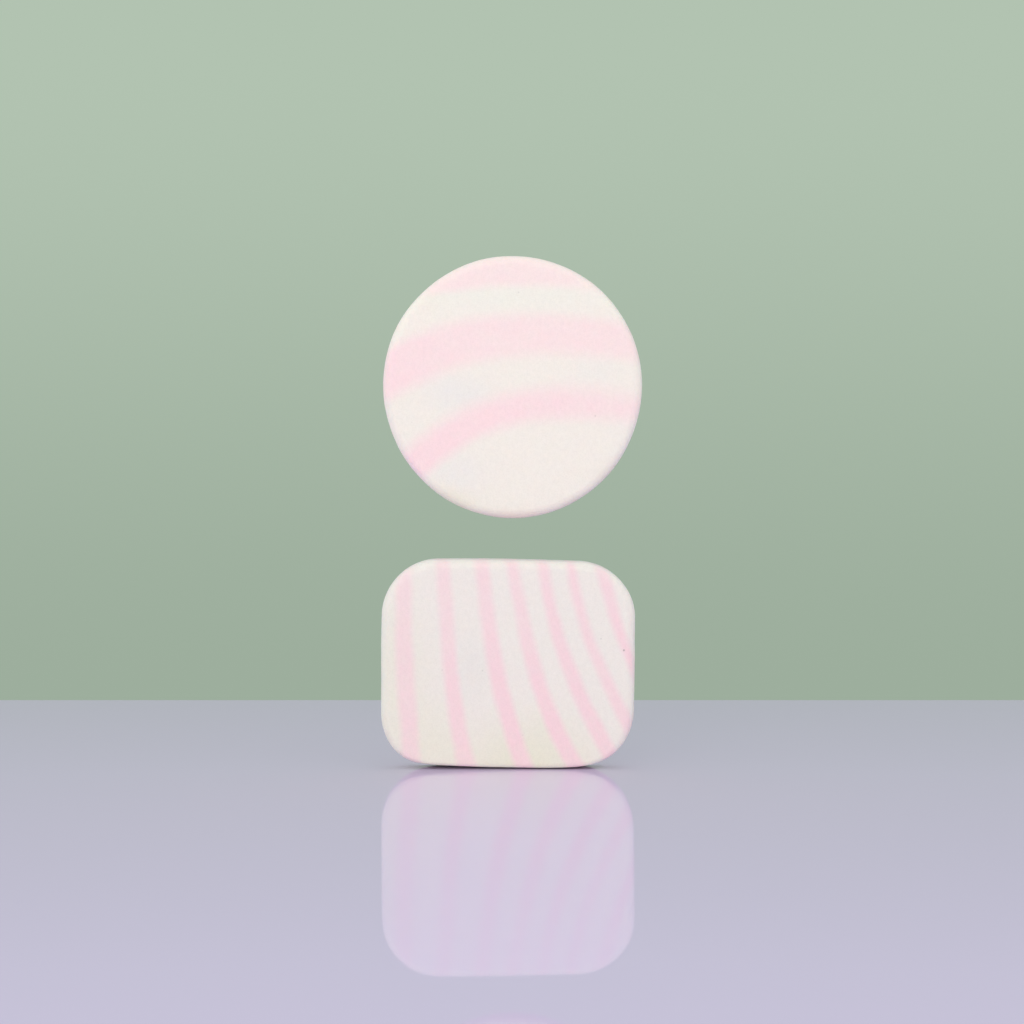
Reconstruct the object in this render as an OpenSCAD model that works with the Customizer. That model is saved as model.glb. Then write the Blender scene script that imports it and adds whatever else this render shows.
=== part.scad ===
// Two loose makeup sponges of one marbled foam: a rounded rectangle that stands on its long
// edge, and a round one above it. Each is a single slice, cured from cream and pink foam that
// were folded together. The layers of foam are modelled as solids that meet face to face.
//
// +X is to the right, +Y away from the viewer and +Z up. The origin is the middle of the flat
// that the rectangular sponge stands on, halfway through its thickness.

/* [Foam] */
// Thickness of both sponges
foam_t = 8; // [6.5:0.5:14]
// Radius of the rolled edge round each face
edge_r = 2; // [1:0.1:3]

/* [Rectangular sponge] */
// Width from side to side
block_w = 55; // [46:0.5:70]
// Height as it stands
block_h = 45.2; // [38:0.1:60]
// Radius of the two upper corners
upper_corner_r = 12; // [7:0.5:16]
// Radius of the lower left corner
lower_left_r = 11.5; // [7:0.5:16]
// Radius of the lower right corner, which is cut rounder
lower_right_r = 13; // [7:0.5:16]
// Depth of the flat that its own weight presses in the foam where it stands
stand_flat = 0.5; // [0.2:0.1:1]

/* [Round sponge] */
// Diameter
disc_d = 56.2; // [40:0.2:80]
// Clear space between the two sponges
disc_gap = 9.1; // [2:0.1:40]
// How far its centre lies to the right of the middle of the rectangular sponge
disc_shift = 1; // [-10:0.5:10]

/* [Marbling] */
// Degrees by which the layers of the rectangular sponge lean through its thickness
block_layer_lean = 4; // [-12:1:12]
// Degrees by which the layers of the round sponge lean through its thickness
disc_layer_lean = -5; // [-12:1:12]

/* [Hidden] */
// Middle line of each pink layer of the rectangular sponge, from left to right: its place at
// the foot, halfway up and at the top, as shares of the width from the middle
pink_line_shares = [
    [-0.374, -0.405, -0.406],
    [-0.160, -0.226, -0.253],
    [ 0.068, -0.049, -0.098],
    [ 0.270,  0.098,  0.025],
    [ 0.440,  0.234,  0.137],
    [ 0.580,  0.361,  0.240],
    [ 0.705,  0.474,  0.362]
];
// Width of a pink layer there at the foot, halfway up and at the top, as shares of the width
pink_width_shares = [0.070, 0.058, 0.050];
// Seams of the round sponge, from the top down: the height of each at the left rim, on the
// middle line and at the right rim, as shares of the diameter from the centre
disc_seam_shares = [
    [ 0.324,  0.395,  0.370],
    [ 0.150,  0.275,  0.215],
    [-0.070,  0.119,  0.095],
    [-0.300, -0.023, -0.025],
    [-0.490, -0.163, -0.142]
];

// Flat part of the rim's half thickness, between its two rolled edges
rim_half = foam_t / 2 - edge_r;
// Where the core ends, inside the rim, and how deep the side strips run, past that into the core
core_inset = 1.5 * edge_r;
strip_depth = 2 * edge_r;
// Corners of the rectangular sponge, anticlockwise from the lower right: radius and centre
corner_radii = [lower_right_r, upper_corner_r, upper_corner_r, lower_left_r];
corner_centres = [
    [block_w / 2 - lower_right_r, lower_right_r - stand_flat],
    [block_w / 2 - upper_corner_r, block_h - upper_corner_r],
    [upper_corner_r - block_w / 2, block_h - upper_corner_r],
    [lower_left_r - block_w / 2, lower_left_r - stand_flat]
];
corners = [0 : 3];
// The two edges of every pink layer, from left to right
block_seam_shares = [
    for (line = pink_line_shares) for (side = [-1, 1]) line + side * pink_width_shares / 2
];
block_seams = len(block_seam_shares);
disc_seams = len(disc_seam_shares);
disc_centre = [disc_shift, block_h + disc_gap + disc_d / 2];
// How far cutters run past what they cut
cut_over = foam_t;

$fn = 96;
seam_fn = 256;
CREAM = [0.93, 0.90, 0.87];
PINK = [0.96, 0.86, 0.87];

// Layers are numbered from the left, and start and end with cream
function block_layer_name(i) = str("rectangle_", i % 2 == 0 ? "cream" : "pink", "_", floor(i / 2) + 1);

// Layers are numbered from the top, start with pink and end with cream
function disc_layer_name(i) = str("round_", i % 2 == 0 ? "pink" : "cream", "_", floor(i / 2) + 1);

// Centre of the circle through three points, from the two chords' middle lines
function arc_centre(a, b, c) =
    let (
        turn = 2 * cross(b - a, c - a),
        ab = (b - a) * (b - a),
        ac = (c - a) * (c - a),
        across = [(c - a).y * ab - (b - a).y * ac, (b - a).x * ac - (c - a).x * ab]
    ) a + across / turn;

// Side i runs from corner i to the next one and faces this way, in degrees
function facing(i) = 90 * i;

// Point of the core beside corner i, towards the side that faces an angle
function core_point(i, angle) =
    corner_centres[i] + (corner_radii[i] - core_inset) * [cos(angle), sin(angle)];

// Half of a slice seen edge on: its rim is at x = reach, with both edges rolled
module slice_profile(reach) {
    translate([0, -foam_t / 2]) square([reach - edge_r, foam_t]);
    translate([0, -rim_half]) square([reach, 2 * rim_half]);
    for (face = [-1, 1]) translate([reach - edge_r, face * rim_half]) circle(edge_r);
}

// The corner's rim turns round the corner's centre from one side to the next
module block_corner(i) {
    translate(corner_centres[i]) rotate([0, 0, facing(i - 1)])
        rotate_extrude(angle = 90) slice_profile(corner_radii[i]);
}

// The side's rim runs straight between two corners
module block_side(i) {
    run = (corner_centres[(i + 1) % 4] - corner_centres[i]) * [-sin(facing(i)), cos(facing(i))];
    translate(corner_centres[i]) rotate([0, 0, facing(i)])
        translate([corner_radii[i] - strip_depth, run / 2, 0])
            rotate([90, 0, 0]) linear_extrude(run, center = true) slice_profile(strip_depth);
}

// The full-thickness middle, whose edge lies inside the rim all round
module block_core() {
    linear_extrude(foam_t, center = true) polygon([
        for (i = corners) each [core_point(i, facing(i - 1)), core_point(i, facing(i))]
    ]);
}

// The whole rectangular sponge, upright, with the flat that it stands on
module block() {
    difference() {
        rotate([90, 0, 0]) {
            block_core();
            for (i = corners) {
                block_corner(i);
                block_side(i);
            }
        }
        translate([-block_w / 2, -foam_t / 2 - cut_over, -cut_over])
            cube([block_w, foam_t + 2 * cut_over, cut_over]);
    }
}

// The whole round sponge, upright, about its own centre
module disc() {
    rotate([90, 0, 0]) rotate_extrude() slice_profile(disc_d / 2);
}

// Everything on the hollow side of an arched seam that runs through three points of the face
module inside_seam(a, b, c, size) {
    centre = arc_centre(a, b, c);
    translate([centre.x, 0, centre.y]) rotate([90, -90, 0])
        cylinder(h = size + 2 * cut_over, r = norm(a - centre), center = true, $fn = seam_fn);
}

// Everything to the right of one seam of the rectangular sponge
module right_of_seam(i) {
    places = block_w * block_seam_shares[i];
    rotate([0, 0, block_layer_lean]) inside_seam(
        [places[0], 0], [places[1], block_h / 2], [places[2], block_h], block_w
    );
}

// Everything below one seam of the round sponge, about the sponge's own centre
module below_seam(i) {
    heights = disc_d * disc_seam_shares[i];
    rotate([disc_layer_lean, 0, 0]) inside_seam(
        [-disc_d / 2, heights[0]], [0, heights[1]], [disc_d / 2, heights[2]], disc_d
    );
}

// One layer of the rectangular sponge, between two seams or a seam and the rim
module block_layer(i) {
    color(i % 2 == 0 ? CREAM : PINK) difference() {
        intersection() {
            block();
            if (i > 0) right_of_seam(i - 1);
        }
        if (i < block_seams) right_of_seam(i);
    }
}

// One layer of the round sponge, between two seams or a seam and the rim
module disc_layer(i) {
    color(i % 2 == 0 ? PINK : CREAM) translate([disc_centre.x, 0, disc_centre.y]) difference() {
        intersection() {
            disc();
            if (i > 0) below_seam(i - 1);
        }
        if (i < disc_seams) below_seam(i);
    }
}

for (i = [0 : block_seams]) {
    block_layer(i);
}
for (i = [0 : disc_seams]) {
    disc_layer(i);
}
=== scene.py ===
# Two marbled foam sponges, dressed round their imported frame: a round one above a rounded
# rectangle that stands on its long edge. Lengths are in millimetres until they reach a mesh.
import math

import bpy
import numpy as np
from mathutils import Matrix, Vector


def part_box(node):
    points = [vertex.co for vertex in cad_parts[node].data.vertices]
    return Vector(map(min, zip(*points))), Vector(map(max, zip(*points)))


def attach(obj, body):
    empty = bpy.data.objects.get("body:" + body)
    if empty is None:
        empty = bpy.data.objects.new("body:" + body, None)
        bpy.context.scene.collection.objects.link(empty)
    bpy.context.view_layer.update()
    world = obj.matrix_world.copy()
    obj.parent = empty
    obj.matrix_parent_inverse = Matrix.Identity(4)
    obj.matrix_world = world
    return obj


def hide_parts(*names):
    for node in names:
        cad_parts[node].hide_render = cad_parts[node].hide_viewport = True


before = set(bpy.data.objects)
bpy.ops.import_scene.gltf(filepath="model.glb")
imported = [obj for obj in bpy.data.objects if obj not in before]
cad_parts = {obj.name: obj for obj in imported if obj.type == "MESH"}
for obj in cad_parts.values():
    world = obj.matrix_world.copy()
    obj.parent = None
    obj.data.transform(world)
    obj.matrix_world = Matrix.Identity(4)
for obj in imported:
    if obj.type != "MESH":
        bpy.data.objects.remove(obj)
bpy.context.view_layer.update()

# Metres in a millimetre
MM = 0.001

# Camera, at the photograph's angle: how far it is from the front faces and above the floor, how
# many degrees it is tilted down, how wide it sees at those faces, and how far right it is
CAMERA_DISTANCE = 600
CAMERA_HEIGHT = 80.2
CAMERA_TILT = 2.33
VIEW_WIDTH = 220.55
CAMERA_SHIFT_X = 0.88

# Floor: its far edge is the line behind the sponges, and it ends in front short of the light
FLOOR_BEHIND = 135
FLOOR_AHEAD = 1200
FLOOR_REACH = 1500
FLOOR_COLOUR = (0.77, 0.645, 0.88)
FLOOR_ROUGHNESS = 0.02
FLOOR_SPECULAR = 0.12

# Surroundings: the backdrop's colour low down and high up, between these two slopes of the line
# of sight, and how much lower on it the floor's gloss sees than the camera does. Then the soft
# light from all round, which goes evenly between one colour in front, another behind and a
# third overhead
BACKDROP_LOW = (157, 174, 157)
BACKDROP_HIGH = (178, 195, 177)
BACKDROP_SPAN = (-0.11, 0.13)
GLOSS_DROP = 0.17
FRONT_LIGHT = (1.55, 1.48, 1.29)
BACK_LIGHT = (0.74, 0.84, 0.92)
TOP_LIGHT = (0.66, 0.73, 0.80)

# Soft square light, from the left in front
KEY_PLACE = (-430, -1600, 198)
KEY_SIDE = 900
KEY_WATTS = 7.3
KEY_COLOUR = (1.0, 1.02, 0.99)

# Rolled edge round each face
EDGE_ROLL = 2.0

# Rings of a sponge's surface: across a face, round a roll and over half the rim. Then the
# points of each ring
FACE_RINGS = 66
ROLL_RINGS = 16
RIM_RINGS = 7
AROUND = 480

# Unevenness of the surface: number of waves, shortest and longest wavelength, and height
BROAD_RELIEF = (40, 9, 30, 0.045)
FINE_RELIEF = (120, 1.3, 3.5, 0.008)
BLOCK_SEED = 11
DISC_SEED = 23

# Rectangular sponge: corner radii anticlockwise from the lower right, and how its cut wanders
BLOCK_RADII = (12.6, 12.0, 12.0, 12.0)
TOP_RISE = 0.2
TOP_FALL = 0.8
RIGHT_LEAN = 0.6
LEFT_BOW = 0.45
SIDE_SWELL = 0.1

# Its foot: how deep and how softly it presses on the floor, then its rolled edge's height and
# depth. The rim under it slopes up from a lowest line: the slope, how round it is at that line,
# where the line lies halfway through the foam, how far to the left and to the right of there
# it reaches the back face, and the height over which the slope fades
FOOT_PRESS = 0.03
FOOT_SOFTNESS = 0.02
FOOT_ROLL = 1.5
FOOT_TUCK = 0.6
FOOT_SLOPE = 0.122
FOOT_CREASE = 0.5
STANDS_AT = 7
LEFT_BEND = 20
RIGHT_BEND = 13
SLOPE_FADE = 1.5

# Round sponge: it sits a little high, is taller than wide, and has three faint lobes
DISC_RISE = 0.33
DISC_STRETCH = 0.17
DISC_LOBES = 0.1

# Colours, as a screen shows them. Cream foam is warm in some places and greyish in others
BLOCK_CREAM = (240, 234, 228)
BLOCK_PINK = (247, 217, 222)
BLOCK_WARM = (232, 231, 208)
# Painted light: the pale greenish light that the rectangular sponge's left side catches
BLOCK_LEFT_LIGHT = (236, 238, 230)
BLOCK_GREY = (231, 228, 224)
DISC_CREAM = (243, 237, 228)
DISC_PINK = (251, 223, 225)
DISC_WARM = (239, 235, 223)
DISC_GREY = (236, 233, 230)
DISC_PALE = (240, 238, 228)
# Painted shade: warm shade on the round sponge's rim below, to the lower left and to the lower right
DISC_BOTTOM_SHADE = (230, 206, 188)
DISC_LOWER_RIGHT_SHADE = (208, 199, 181)
DISC_LOWER_LEFT_SHADE = (225, 220, 180)

# Pink layers of the rectangular sponge on its front face, left to right: how far the layer's
# middle line lies from the sponge's, how wide the layer is, and how strong, each at its own
# shares of the sponge's height
LINE_SHARES = (0, 1 / 3, 2 / 3, 1)
WIDTH_SHARES = (0, 1 / 2, 1)
STRENGTH_SHARES = (0, 0.3, 0.6, 1)
BLOCK_LAYERS = [
    ((-20.6, -21.8, -22.4, -22.3), (3.6, 3.7, 3.1), (0.70, 0.80, 0.72, 0.66)),
    ((-8.7, -11.6, -13.1, -14.2), (3.7, 3.2, 3.1), (0.78, 0.90, 0.76, 0.72)),
    ((3.9, -1.0, -3.9, -5.7), (4.0, 3.4, 3.1), (0.78, 1.00, 0.82, 0.80)),
    ((15.2, 7.9, 3.7, 0.8), (4.2, 3.2, 2.6), (0.80, 1.00, 0.80, 0.80)),
    ((24.1, 16.0, 10.5, 7.5), (4.0, 3.2, 2.3), (0.85, 0.92, 0.86, 0.80)),
    ((31.3, 23.3, 17.0, 13.4), (3.5, 2.7, 2.0), (0.80, 0.80, 0.78, 0.82)),
    ((38.5, 30.2, 24.1, 19.9), (3.0, 2.3, 3.0), (0.90, 0.90, 0.92, 0.65)),
]

# How those layers lean through the foam, in degrees, how soft their edges are, and how far and
# over what length they wander, with a stretch along each axis
BLOCK_LEAN = 4
BLOCK_SOFTNESS = 1.05
BLOCK_WANDER = 0.8
BLOCK_WANDER_SIZE = 5
BLOCK_WANDER_STRETCH = (1, 1, 0.6)

# Pink layers of the round sponge: heights of the upper and the lower edge from its centre, and
# the layer's strength, at DISC_PLACES from its centre, with each edge's softness
DISC_PLACES = (-24, -8, 8, 24)
DISC_LAYERS = [
    ((40.0, 40.0, 40.0, 40.0), (19.3, 21.8, 22.2, 19.1), 1.5, 1.5, (0.55, 0.66, 0.57, 0.55)),
    ((9.9, 15.0, 15.7, 14.0), (-0.7, 5.5, 7.5, 6.3), 2.0, 2.2, (0.90, 0.73, 0.71, 0.72)),
    ((-14.5, -3.7, 0.0, -1.3), (-24.6, -10.8, -6.6, -6.9), 3.0, 2.3, (0.98, 1.00, 0.90, 0.75)),
]

# How those layers lean and wander, in the same terms
DISC_LEAN = -5
DISC_WANDER = 1.4
DISC_WANDER_SIZE = 7
DISC_WANDER_STRETCH = (0.6, 1, 1)

# Clouds in the cream: middle across and up, reach across and up, share, colour. Most tint the foam, but
# the one down the rectangular sponge's left side is painted light, and the last four of the round
# sponge are painted warm shade round its lower rim. The rectangular sponge's heights are from the floor
# and the round one's from its centre
BLOCK_CLOUDS = [
    (-30, 18, 20, 34, 0.50, BLOCK_WARM),
    (4, -2, 24, 20, 0.80, BLOCK_WARM),
    (8, 9, 6, 12, 0.50, BLOCK_WARM),
    (-16, 4, 12, 16, 0.50, BLOCK_WARM),
    # Painted light down the rectangular sponge's left side
    (-30, 24, 7, 40, 1.00, BLOCK_LEFT_LIGHT),
    (-8, 22, 8, 14, 0.80, BLOCK_GREY),
]
DISC_CLOUDS = [
    (0, 19.5, 34, 4, 0.90, DISC_PALE),
    (-18, 18, 8, 6, 0.60, DISC_WARM),
    (-12, -1, 12, 7, 0.90, DISC_GREY),
    (-12, -18, 10, 8, 0.80, DISC_GREY),
    (18, 4, 9, 5, 0.50, DISC_GREY),
    (25, -12, 8, 14, 0.60, DISC_GREY),
    (-10, -26, 16, 8, 0.70, DISC_WARM),
    # Painted shade round the round sponge's lower rim
    (-19, -29, 16, 11, 0.90, DISC_LOWER_LEFT_SHADE),
    (1, -31.5, 18, 7.4, 1.00, DISC_BOTTOM_SHADE),
    (15, -27.5, 9, 7, 0.80, DISC_LOWER_RIGHT_SHADE),
    (24, -22, 10, 10, 0.60, DISC_LOWER_RIGHT_SHADE),
]

# Pinholes in the front faces: place across and up, measured as the clouds', radius, and darkness, which
# is painted shade inside the hole
BLOCK_PINHOLES = [
    (25.05, 25.9, 0.34, 0.50), (20.1, 28.4, 0.26, 0.22), (-5.5, 21.5, 0.26, 0.20),
    (-14.2, 21.6, 0.26, 0.16), (3.2, 7.5, 0.24, 0.14),
]
DISC_PINHOLES = [(1.3, 20.6, 0.26, 0.16), (17.8, -5.9, 0.28, 0.22), (-21.7, -7.3, 0.24, 0.10)]

# Scattered pinholes towards the back: their spacing, where one starts and where it is full as shares of
# that, their darkness, which is painted shade inside them, and where through the foam they start and
# are full. Then how many times deeper than an open cell a pinhole of full darkness is
BACK_HOLE_SPACING = 4.8
BACK_HOLE_REACH = (0.05, 0.025)
BACK_HOLE_DARKNESS = 0.25
BACK_HOLE_DEPTHS = (0.0, 1.0)
HOLE_DEPTH = 4

# Pink on the rim: its strength there, and how deep below a face it starts and stops to pale
RIM_PINK = 0.64
RIM_FADE = (0.25, 1.0)

# Mottling of the pink, and grain of all the foam: how strong and how large each is, and how
# many finer sizes the noise has
NOISE_DETAIL = 2.0
MOTTLE = 0.5
MOTTLE_SIZE = 3
GRAIN = 0.08
GRAIN_SIZE = 0.8
GRAIN_STRETCH = (1, 1, 0.7)

# Open cells: size and depth, where a cell's wall starts and is full as shares of its size, how
# much lighter the wall is, and how strongly cells and pinholes catch the light
PORE_SIZE = 0.38
PORE_DEPTH = 0.045
PORE_WALL = (0.2, 0.6)
PORE_SHADE = 0.025
BUMP_STRENGTH = 0.3

# Matte surface of the foam, and the light that it lets in: its share, and how far red, green
# and blue reach
FOAM_ROUGHNESS = 0.9
FOAM_SPECULAR = 0.25
FOAM_INNER_LIGHT = 0.15
FOAM_INNER_REACH = (1.0, 0.6, 0.4)


def box_of(prefix):
    """Lowest and highest corner, in mm, of all the CAD nodes whose names start alike."""
    corners = [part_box(name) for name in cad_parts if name.startswith(prefix)]
    low = np.min([tuple(pair[0]) for pair in corners], axis=0) / MM
    high = np.max([tuple(pair[1]) for pair in corners], axis=0) / MM
    return low, high


def nodes_of(prefix):
    """Names of all the CAD nodes that start alike."""
    return sorted(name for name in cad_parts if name.startswith(prefix))


def block_outline(low, high):
    """Points, outward directions and roll sizes round the rectangular sponge, seen from the front.

    The line is a circle whose centre, radius and direction each slide steadily from corner
    to corner, with equal steps along it. The cut then wanders: the top falls to the right,
    the right side leans in towards the foot as a square, the left side bows out as a square,
    and both swell as a parabola that is highest halfway up. The rolled edge goes over to the
    foot's own by the square of how far a point faces down."""
    lower_right, upper_right, upper_left, lower_left = BLOCK_RADII
    centres = np.array([
        (high[0] - lower_right, low[2] + lower_right - FOOT_PRESS),
        (high[0] - upper_right, high[2] - upper_right),
        (low[0] + upper_left, high[2] - upper_left),
        (low[0] + lower_left, low[2] + lower_left - FOOT_PRESS),
    ])
    corner = np.array([0, 0, 1, 1, 2, 2, 3, 3, 0])
    knot_angle = np.radians([-90, 0, 0, 90, 90, 180, 180, 270, 270])
    knot_radius = np.array(BLOCK_RADII)[corner]
    knot_centre = centres[corner]
    straights = np.linalg.norm(np.diff(knot_centre, axis=0), axis=1)
    turns = knot_radius[1:] * np.diff(knot_angle)
    knots = np.concatenate([[0], np.cumsum(straights + turns)])
    along = np.linspace(0, knots[-1], AROUND, endpoint=False)
    angle = np.interp(along, knots, knot_angle)
    radius = np.interp(along, knots, knot_radius)
    centre = np.stack([np.interp(along, knots, knot_centre[:, axis]) for axis in (0, 1)], axis=1)
    facing = np.stack([np.cos(angle), np.sin(angle)], axis=1)
    points = centre + radius[:, None] * facing

    right = np.clip(points[:, 0] / high[0], 0, 1)
    left = np.clip(points[:, 0] / low[0], 0, 1)
    up = np.clip(points[:, 1] / high[2], 0, 1)
    points[:, 0] += LEFT_BOW * left * up ** 2 - RIGHT_LEAN * right * (1 - up) ** 2
    points[:, 0] += SIDE_SWELL * (right - left) * 4 * up * (1 - up)
    points[:, 1] += (TOP_RISE - TOP_FALL * right) * up
    at_foot = np.clip(-facing[:, 1], 0, 1) ** 2
    roll = EDGE_ROLL + (FOOT_ROLL - EDGE_ROLL) * at_foot
    tuck = EDGE_ROLL + (FOOT_TUCK - EDGE_ROLL) * at_foot
    return points, facing, roll, tuck


def disc_outline(low, high):
    """Points, outward directions and roll sizes round the round sponge, seen from the front.

    The radius is half the width, plus waves of one, two and three turns."""
    angle = np.linspace(0, 2 * np.pi, AROUND, endpoint=False)
    facing = np.stack([np.cos(angle), np.sin(angle)], axis=1)
    radius = (high[0] - low[0]) / 2 + DISC_RISE * np.sin(angle)
    radius += DISC_LOBES * np.sin(3 * angle) - DISC_STRETCH * np.cos(2 * angle)
    centre = np.array([low[0] + high[0], low[2] + high[2]]) / 2
    roll = np.full(AROUND, EDGE_ROLL)
    return centre + radius[:, None] * facing, facing, roll, roll


def relief(points, waves, shortest, longest, height, seed):
    """Height of a gentle unevenness at each point, in mm.

    It is a sum of cosines along seeded directions, with wavelengths from shortest to longest,
    over the root of their number."""
    draw = np.random.default_rng(seed)
    directions = draw.normal(size=(waves, 3))
    directions /= np.linalg.norm(directions, axis=1)[:, None]
    pace = 2 * np.pi / draw.uniform(shortest, longest, waves)
    offset = draw.uniform(0, 2 * np.pi, waves)
    total = np.zeros(len(points))
    for direction, step, start in zip(directions, pace, offset):
        total += np.cos(points @ direction * step + start)
    return height * total / math.sqrt(waves)


def slice_surface(outline, facing, roll, tuck, low, high, seed):
    """Points of a whole slice of foam, ring by ring from its front face to its back face.

    On a face each ring is the inner line of the roll, shrunk towards the middle. On the roll
    the ring at an angle t lies sin(t) of its size out and 1 - cos(t) of its tuck back, where
    t goes to a right angle, and on the rim the rings run straight back. The second half
    mirrors the first. Every point then moves a little along its own normal."""
    half = (high[1] - low[1]) / 2
    inner = outline - roll[:, None] * facing
    pole = inner.mean(axis=0)

    face_steps = np.arange(1, FACE_RINGS + 1) / FACE_RINGS
    rim_steps = np.arange(1, RIM_RINGS + 1) / RIM_RINGS
    turn = np.arange(1, ROLL_RINGS + 1) / ROLL_RINGS * np.pi / 2
    share = np.concatenate([face_steps, np.ones(ROLL_RINGS + RIM_RINGS)])
    normal_out = np.concatenate([np.zeros(FACE_RINGS), np.sin(turn), np.ones(RIM_RINGS)])
    normal_front = np.concatenate([np.ones(FACE_RINGS), np.cos(turn), np.zeros(RIM_RINGS)])
    out = normal_out[:, None] * roll
    back = (1 - normal_front)[:, None] * tuck
    back[-RIM_RINGS:] += rim_steps[:, None] * (half - tuck)

    share, out, normal_out = (np.concatenate([a, a[-2::-1]]) for a in (share, out, normal_out))
    depth = np.concatenate([back - half, half - back[-2::-1]])
    normal_depth = np.concatenate([-normal_front, normal_front[-2::-1]])

    flat = pole + (inner - pole) * share[:, None, None] + out[..., None] * facing
    points = np.stack([flat[..., 0], depth, flat[..., 1]], axis=2)
    normals = np.stack([
        normal_out[:, None] * facing[:, 0],
        np.broadcast_to(normal_depth[:, None], flat.shape[:2]),
        normal_out[:, None] * facing[:, 1],
    ], axis=2)

    front_pole, back_pole = ((pole[0], side * half, pole[1]) for side in (-1, 1))
    points = np.concatenate([[front_pole], points.reshape(-1, 3), [back_pole]])
    normals = np.concatenate([[(0, -1, 0)], normals.reshape(-1, 3), [(0, 1, 0)]])
    height = relief(points, *BROAD_RELIEF, seed) + relief(points, *FINE_RELIEF, seed + 1)
    return points + normals * height[:, None]


def stood(points):
    """The points as they stand, on the lowest line of a rim that slopes up to both faces.

    The lowest line runs in the middle where the sponge stands, and bends to the back face as the
    square of the way to the left and to the right. Away from it the rim rises as a hyperbola,
    less so higher up. A height z then becomes half of z plus the root of z squared and the
    softness squared, so that what would reach below the floor is pressed flat on it."""
    across, depth, height = points.T
    bend = (across - STANDS_AT) / np.where(across < STANDS_AT, LEFT_BEND, RIGHT_BEND)
    lowest = depth.max() * bend ** 2
    rise = FOOT_SLOPE * (np.hypot(depth - lowest, FOOT_CREASE) - FOOT_CREASE)
    height = height + rise * np.exp(-np.clip(height, 0, None) / SLOPE_FADE)
    pressed = (height + np.sqrt(height ** 2 + FOOT_SOFTNESS ** 2)) / 2
    return np.column_stack([points[:, :2], pressed])


def slice_faces(rings):
    """Quads between neighbouring rings, and a fan of triangles at each pole."""
    step = np.arange(AROUND)
    following = (step + 1) % AROUND
    start = 1 + AROUND * np.arange(rings - 1)[:, None]
    quads = np.stack([
        start + step, start + following, start + AROUND + following, start + AROUND + step
    ], axis=2)
    last = 1 + AROUND * (rings - 1)
    front = np.stack([np.zeros(AROUND, int), 1 + step, 1 + following], axis=1)
    back = np.stack([np.full(AROUND, last + AROUND), last + following, last + step], axis=1)
    return quads.reshape(-1, 4)[:, ::-1].tolist() + front.tolist() + back.tolist()


def foam_piece(name, body, nodes, points, material):
    """Puts a slice's points into a mesh that stands for its CAD layers and rides on their body."""
    rings = (len(points) - 2) // AROUND
    mesh = bpy.data.meshes.new(name)
    mesh.from_pydata((points * MM).tolist(), [], slice_faces(rings))
    mesh.polygons.foreach_set("use_smooth", [True] * len(mesh.polygons))
    mesh.materials.append(material)
    mesh.update()
    piece = bpy.data.objects.new(name, mesh)
    bpy.context.scene.collection.objects.link(piece)
    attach(piece, body)
    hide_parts(*nodes)


class Wire:
    """One socket of a finish. Arithmetic on it adds the Math nodes that work it out."""

    def __init__(self, finish, socket):
        self.finish, self.socket = finish, socket

    def __add__(self, other):
        return self.finish.math("ADD", self, other)

    def __sub__(self, other):
        return self.finish.math("SUBTRACT", self, other)

    def __rsub__(self, other):
        return self.finish.math("SUBTRACT", other, self)

    def __mul__(self, other):
        return self.finish.math("MULTIPLY", self, other)

    def __abs__(self):
        return self.finish.math("ABSOLUTE", self)

    __radd__ = __add__
    __rmul__ = __mul__


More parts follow.
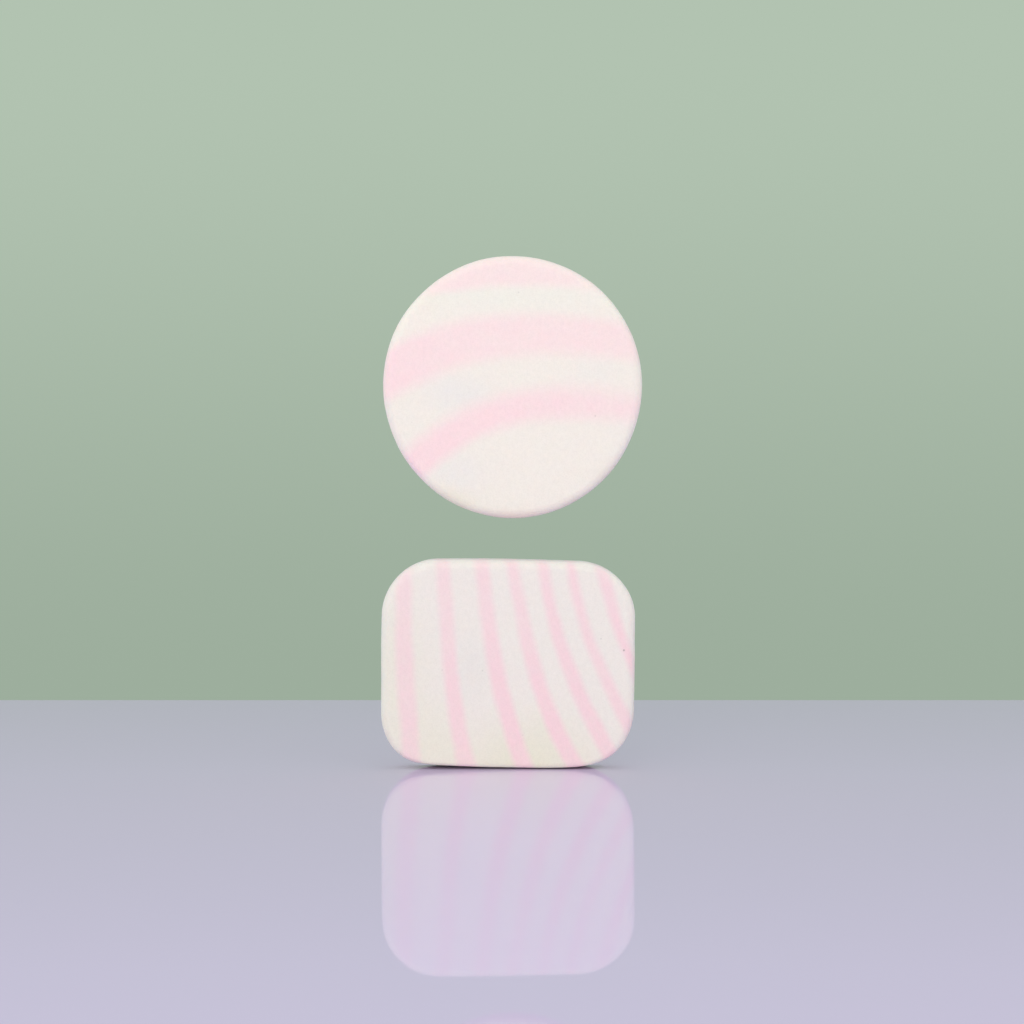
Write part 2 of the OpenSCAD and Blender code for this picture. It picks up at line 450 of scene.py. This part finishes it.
class Finish:
    """A material or a world that is worked out node by node."""

    def __init__(self, owner):
        owner.use_nodes = True
        self.owner, self.tree = owner, owner.node_tree

    def node(self, kind, settings=(), sockets=(), output=0):
        """Adds a node, sets its settings, then gives each socket its value or its link."""
        made = self.tree.nodes.new(kind)
        for key, value in dict(settings).items():
            setattr(made, key, value)
        for key, value in dict(sockets).items():
            self.feed(made.inputs[key], value)
        return Wire(self, made.outputs[output])

    def feed(self, socket, value):
        """Links a wire to a socket, or sets the socket to a value."""
        if isinstance(value, Wire):
            self.tree.links.new(value.socket, socket)
        else:
            socket.default_value = value

    def surface(self, **values):
        """Sets or links sockets of the surface shader, named with _ for a space."""
        for key, value in values.items():
            self.feed(self.tree.nodes["Principled BSDF"].inputs[key.replace("_", " ")], value)

    def math(self, operation, *values):
        """Arithmetic on numbers or wires."""
        return self.node("ShaderNodeMath", {"operation": operation}, enumerate(values))

    def vector(self, operation, *values, output="Vector"):
        """Arithmetic on places or directions."""
        return self.node("ShaderNodeVectorMath", {"operation": operation}, enumerate(values), output)

    def ramp(self, value, start, end, low=0.0, high=1.0):
        """Goes smoothly from low to high as value goes from start to end."""
        return self.node("ShaderNodeMapRange", {"interpolation_type": "SMOOTHSTEP"}, {
            "Value": value, "From Min": start, "From Max": end, "To Min": low, "To Max": high,
        })

    def blend(self, share, first, second):
        """Mixes two colours, given as linear values or wires.

        Its sockets for colours share their names with others, so they go by number."""
        first, second = (c if isinstance(c, Wire) else (*c, 1.0) for c in (first, second))
        sockets = {0: share, 6: first, 7: second}
        return self.node("ShaderNodeMix", {"data_type": "RGBA"}, sockets, output=2)

    def scaled(self, place, size, stretch=(1, 1, 1)):
        """Places measured in steps of size mm."""
        return self.vector("MULTIPLY", place, [s / (size * MM) for s in stretch])

    def noise(self, place, size, stretch=(1, 1, 1)):
        """Smooth noise about zero, whose features are about size mm wide."""
        at = self.scaled(place, size, stretch)
        sockets = {"Vector": at, "Scale": 1.0, "Detail": NOISE_DETAIL}
        return self.node("ShaderNodeTexNoise", {}, sockets) - 0.5

    def cells(self, place, size):
        """Distance to the nearest of scattered points, in steps of about size mm."""
        sockets = {"Vector": self.scaled(place, size), "Scale": 1.0}
        return self.node("ShaderNodeTexVoronoi", {}, sockets, output="Distance")

    def cloud(self, place, middle, reach):
        """One in the middle of a soft ball or oval, and nought from its reach on."""
        scale = [1 / (r * MM) for r in reach]
        shift = [-m / r for m, r in zip(middle, reach)]
        inside = self.vector("MULTIPLY_ADD", place, scale, shift)
        return self.ramp(self.vector("LENGTH", inside, output="Value"), 1.0, 0.0)

    def curve(self, at, places, heights):
        """The smooth line of as many powers as it needs through the heights at those places."""
        powers = np.polyfit(places, heights, len(places) - 1)
        line = at * float(powers[0]) + float(powers[1])
        for power in powers[2:]:
            line = line * at + float(power)
        return line


def linear(red, green, blue):
    """Linear values of a colour given from 0 to 255 as a screen shows it, by the sRGB curve."""
    return tuple(((c / 255 + 0.055) / 1.055) ** 2.4 for c in (red, green, blue))


def block_layers(finish, place, across, depth, up):
    """How pink the rectangular sponge is: each layer is a soft band round its middle line.

    That line, half the width and the strength are curves over the share of the height. The
    place across is first moved by the depth times the lean's slope, and by the wander."""
    high = box_of("rectangle")[1]
    share = up * float(1 / high[2])
    lean = math.tan(math.radians(BLOCK_LEAN))
    wander = finish.noise(place, BLOCK_WANDER_SIZE, stretch=BLOCK_WANDER_STRETCH) * BLOCK_WANDER
    level = across + (depth + float(high[1])) * lean + wander
    total = 0
    for line, widths, strengths in BLOCK_LAYERS:
        away = abs(level - finish.curve(share, LINE_SHARES, line))
        half = finish.curve(share, WIDTH_SHARES, [width / 2 for width in widths])
        band = finish.ramp(away, half - BLOCK_SOFTNESS, half + BLOCK_SOFTNESS, 1.0, 0.0)
        total = total + band * finish.curve(share, STRENGTH_SHARES, strengths)
    return total


def disc_layers(finish, place, across, depth, up):
    """How pink the round sponge is: each layer fills the space between two curved edges.

    The edges and the strength are curves over the place across. The height is first moved by
    the depth times the lean's slope, and by the wander."""
    low, high = box_of("round")
    lean = math.tan(math.radians(DISC_LEAN))
    wander = finish.noise(place, DISC_WANDER_SIZE, stretch=DISC_WANDER_STRETCH) * DISC_WANDER
    level = up - float(low[2] + high[2]) / 2 - (depth + float(high[1])) * lean + wander
    along = across - float(low[0] + high[0]) / 2
    total = 0
    for upper, lower, upper_soft, lower_soft, strengths in DISC_LAYERS:
        over = finish.ramp(level - finish.curve(along, DISC_PLACES, lower), -lower_soft, lower_soft)
        under = finish.ramp(finish.curve(along, DISC_PLACES, upper) - level, -upper_soft, upper_soft)
        total = total + over * under * finish.curve(along, DISC_PLACES, strengths)
    return total


def foam(prefix, layers, cream, pink, clouds, pinholes, middle):
    """Matte fine-celled foam: clouds in the cream, some of them painted light and shade at the rims,
    pink layers, open cells and pinholes.

    The colour is the cream, blended with each cloud's colour and then with the pink, times a shade that
    is one plus the grain and the cells' walls, less the pinholes' painted shade."""
    finish = Finish(bpy.data.materials.new("marbled_foam_" + prefix))
    place = finish.node("ShaderNodeTexCoord", output="Object")
    across, depth, up = (
        finish.node("ShaderNodeSeparateXYZ", {}, {0: place}, output=axis) * (1 / MM)
        for axis in range(3)
    )
    half = float(box_of(prefix)[1][1])
    on_face = finish.ramp(abs(depth), half - RIM_FADE[1], half - RIM_FADE[0])

    colour = linear(*cream)
    for x, z, reach_x, reach_z, share, tint in clouds:
        inside = finish.cloud(place, (middle[0] + x, 0, middle[1] + z), (reach_x, reach_x, reach_z))
        colour = finish.blend(inside * share, colour, linear(*tint))
    mottle = 1 + MOTTLE * finish.noise(place, MOTTLE_SIZE)
    paling = RIM_PINK + (1 - RIM_PINK) * on_face
    pinkness = layers(finish, place, across, depth, up) * mottle * paling
    colour = finish.blend(pinkness, colour, linear(*pink))

    pores = finish.ramp(finish.cells(place, PORE_SIZE), *PORE_WALL)
    # Painted shade inside the pinholes, which also deepens them in the bump
    holes = 0
    for x, z, radius, darkness in pinholes:
        hole = finish.cloud(place, (middle[0] + x, -half, middle[1] + z), (radius,) * 3)
        holes = holes + hole * darkness
    scattered = finish.ramp(finish.cells(place, BACK_HOLE_SPACING), *BACK_HOLE_REACH)
    holes = holes + scattered * finish.ramp(depth, *BACK_HOLE_DEPTHS) * BACK_HOLE_DARKNESS

    grain = GRAIN * finish.noise(place, GRAIN_SIZE, stretch=GRAIN_STRETCH)
    shade = 1 + grain + (pores - 0.5) * PORE_SHADE - holes
    colour = finish.node("ShaderNodeVectorMath", {"operation": "SCALE"}, {0: colour, "Scale": shade})
    bump = finish.node("ShaderNodeBump", {}, {
        "Strength": BUMP_STRENGTH, "Distance": PORE_DEPTH * MM, "Height": pores - HOLE_DEPTH * holes,
    })
    finish.surface(
        Base_Color=colour, Normal=bump, Roughness=FOAM_ROUGHNESS, Specular_IOR_Level=FOAM_SPECULAR,
        Subsurface_Weight=FOAM_INNER_LIGHT, Subsurface_Scale=MM, Subsurface_Radius=FOAM_INNER_REACH,
    )
    return finish.owner


def floor():
    """A wide smooth sheet whose far edge is the line behind the sponges."""
    depth = np.array([-FLOOR_AHEAD, FLOOR_BEHIND])
    points = [(side * FLOOR_REACH * MM, y * MM, 0) for y in depth for side in (-1, 1)]
    mesh = bpy.data.meshes.new("floor")
    mesh.from_pydata(points, [], [(0, 1, 3, 2)])
    finish = Finish(bpy.data.materials.new("floor_gloss"))
    finish.surface(Base_Color=(*FLOOR_COLOUR, 1.0), Roughness=FLOOR_ROUGHNESS,
                   Specular_IOR_Level=FLOOR_SPECULAR)
    mesh.materials.append(finish.owner)
    made = bpy.data.objects.new("floor", mesh)
    bpy.context.scene.collection.objects.link(made)


def key_light(aim):
    """A square soft light that is turned towards the aim. The floor's gloss doesn't mirror it."""
    lamp = bpy.data.lights.new("key", "AREA")
    lamp.shape = "SQUARE"
    lamp.size, lamp.energy, lamp.color = KEY_SIDE * MM, KEY_WATTS, KEY_COLOUR
    made = bpy.data.objects.new("key", lamp)
    made.location = Vector(KEY_PLACE) * MM
    made.rotation_euler = (Vector(aim) - Vector(KEY_PLACE)).to_track_quat("-Z", "Y").to_euler()
    made.visible_glossy = False
    bpy.context.scene.collection.objects.link(made)


def surroundings():
    """A plain pale green backdrop, and soft light that is stronger from the front.

    The light blends from front to back by half of one more than the direction's part along Y,
    and from there to overhead by its part along Z."""
    world = Finish(bpy.data.worlds.new("surroundings"))
    towards = world.node("ShaderNodeTexCoord", output="Generated")
    back, up = (world.node("ShaderNodeSeparateXYZ", {}, {0: towards}, output=axis) for axis in (1, 2))
    to_camera, is_lighting = (
        world.node("ShaderNodeLightPath", output=kind) for kind in ("Is Camera Ray", "Is Diffuse Ray")
    )
    height = up - (1 - to_camera) * GLOSS_DROP
    upwards = world.ramp(height, *BACKDROP_SPAN)
    seen = world.blend(upwards, linear(*BACKDROP_LOW), linear(*BACKDROP_HIGH))
    round_about = world.blend((back + 1) * 0.5, FRONT_LIGHT, BACK_LIGHT)
    lit = world.blend(abs(up), round_about, TOP_LIGHT)
    background = world.tree.nodes["Background"].inputs["Color"]
    world.feed(background, world.blend(is_lighting, seen, lit))
    bpy.context.scene.world = world.owner


def camera(front):
    """The photograph's camera, at its distance from the front faces, whose depth is given."""
    made = bpy.data.objects.new("camera", bpy.data.cameras.new("camera"))
    made.data.lens = made.data.sensor_width * CAMERA_DISTANCE / VIEW_WIDTH
    made.location = Vector((CAMERA_SHIFT_X, front - CAMERA_DISTANCE, CAMERA_HEIGHT)) * MM
    made.rotation_euler = (math.radians(90 - CAMERA_TILT), 0, 0)
    bpy.context.scene.collection.objects.link(made)
    bpy.context.scene.camera = made


block_low, block_high = box_of("rectangle")
disc_low, disc_high = box_of("round")
disc_middle = [float(disc_low[axis] + disc_high[axis]) / 2 for axis in (0, 2)]

camera(float(block_low[1]))
floor()
surroundings()
key_light(aim=(0, 0, float(disc_high[2]) / 2))

block_foam = foam(
    "rectangle", block_layers, BLOCK_CREAM, BLOCK_PINK, BLOCK_CLOUDS, BLOCK_PINHOLES, (0, 0)
)
disc_foam = foam(
    "round", disc_layers, DISC_CREAM, DISC_PINK, DISC_CLOUDS, DISC_PINHOLES, disc_middle
)
block_cut = slice_surface(*block_outline(block_low, block_high), block_low, block_high, BLOCK_SEED)
disc_cut = slice_surface(*disc_outline(disc_low, disc_high), disc_low, disc_high, DISC_SEED)
foam_piece(
    "rectangular_sponge_foam", "rectangular_sponge", nodes_of("rectangle"), stood(block_cut), block_foam
)
foam_piece("round_sponge_foam", "round_sponge", nodes_of("round"), disc_cut, disc_foam)

bpy.context.scene.view_settings.view_transform = "Standard"
